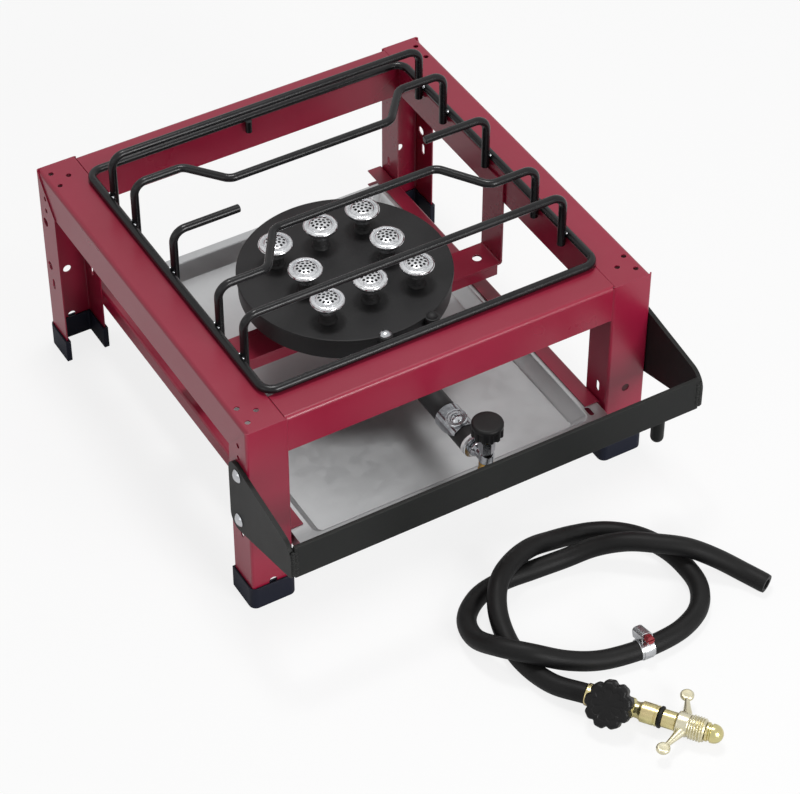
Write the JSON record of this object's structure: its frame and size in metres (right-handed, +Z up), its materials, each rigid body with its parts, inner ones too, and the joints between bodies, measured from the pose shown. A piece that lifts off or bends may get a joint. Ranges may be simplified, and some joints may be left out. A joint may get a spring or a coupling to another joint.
{
  "type": "gas burner stand",
  "caption": "Square steel stand with a drum gas burner under a lift-off wire grate, a sliding drip tray, a front guard bar, and a loose hose kit with regulator and clamp.",
  "frame": {"origin": "middle of the stand with its guard bar, on the floor under the rubber feet", "axes": "+X to the right seen from the valve's side, +Y to the back, away from the valve, +Z up"},
  "size_m": [0.4152, 0.7353, 0.2668],
  "materials": {
    "frame_paint": "wine-red semi-gloss paint",
    "foot_rubber": "matt black rubber",
    "guard_black": "satin black paint",
    "bolt_chrome": "bright plated steel",
    "burner_black": "satin heat-proof black",
    "head_chrome": "bright chrome",
    "brass": "plain brass",
    "knob_plastic": "black plastic",
    "wire_enamel": "glossy black enamel",
    "tray_zinc": "galvanised sheet",
    "hose_rubber": "smooth black rubber",
    "clamp_steel": "bright strip steel",
    "screw_red": "dark red plating",
    "gold_zinc": "pale gold passivated zinc"
  },
  "bodies": {
    "stand": {"top_rail_left": "frame_paint", "top_rail_right": "frame_paint", "top_rail_front": "frame_paint", "top_rail_back": "frame_paint", "leg_front_left": "frame_paint", "leg_front_right": "frame_paint", "leg_back_left": "frame_paint", "leg_back_right": "frame_paint", "tray_runner_left": "frame_paint", "tray_runner_right": "frame_paint", "burner_bridge": "frame_paint", "foot_front_left": "foot_rubber", "foot_front_right": "foot_rubber", "foot_back_left": "foot_rubber", "foot_back_right": "foot_rubber", "guard_bar": "guard_black", "guard_arm_left": "guard_black", "guard_arm_right": "guard_black", "guard_peg": "guard_black", "guard_bolts": "bolt_chrome", "guard_nuts": "bolt_chrome", "lid_bolts": "bolt_chrome", "bridge_bolt": "bolt_chrome", "burner_drum": "burner_black", "burner_lid": "burner_black", "head_stems": "burner_black", "mixing_tube": "burner_black", "burner_heads": "head_chrome", "gas_jet": "head_chrome", "valve_body": "head_chrome", "packing_nut": "head_chrome", "hose_barb": "brass", "gas_hose": "hose_rubber", "stem_seal": "hose_rubber", "hose_clamp": "clamp_steel", "regulator_ferrule": "gold_zinc", "regulator_body": "gold_zinc", "inlet_stem": "gold_zinc"},
    "drip_tray": {"drip_tray": "tray_zinc"},
    "pan_grate": {"grate_loop": "wire_enamel", "grate_wire_front": "wire_enamel", "grate_wire_back": "wire_enamel", "grate_crank_front": "wire_enamel", "grate_crank_back": "wire_enamel", "grate_finger_left": "wire_enamel", "grate_finger_right": "wire_enamel"},
    "valve_handle": {"valve_spindle": "brass", "valve_knob": "knob_plastic"},
    "shutter": {"air_shutter": "head_chrome", "shutter_screw": "bolt_chrome"},
    "regulator_dial": {"regulator_knob": "knob_plastic"},
    "wing": {"wing_nut": "gold_zinc"},
    "worm": {"clamp_screw": "screw_red"}
  },
  "joints": [
    {"name": "tray_slide", "type": "slide", "parent": "stand", "child": "drip_tray", "axis": [0, -1, 0], "range_m": [0, 0.3]},
    {"name": "grate_lift", "type": "slide", "parent": "stand", "child": "pan_grate", "axis": [0, 0, 1], "range_m": [0, 0.08]},
    {"name": "valve_turn", "type": "hinge", "parent": "stand", "child": "valve_handle", "pos_m": [0.004, -0.208, 0.15], "axis": [0, 0, 1], "range_deg": [0, 360]},
    {"name": "shutter_turn", "type": "hinge", "parent": "stand", "child": "shutter", "pos_m": [0.004, -0.164, 0.119], "axis": [0, 1, 0], "range_deg": [0, 60]},
    {"name": "dial_turn", "type": "hinge", "parent": "stand", "child": "regulator_dial", "pos_m": [0.0024, -0.4162, 0.014], "axis": [-0.6038, -0.4528, 0.6561], "range_deg": [0, 360]},
    {"name": "wing_turn", "type": "hinge", "parent": "stand", "child": "wing", "pos_m": [0.0396, -0.4658, 0.014], "axis": [0.6, -0.8, 0], "continuous": true},
    {"name": "worm_turn", "type": "hinge", "parent": "stand", "child": "worm", "pos_m": [0.06082, -0.37129, 0.02297], "axis": [-0.0647, -0.9375, 0.342], "continuous": true}
  ]
}
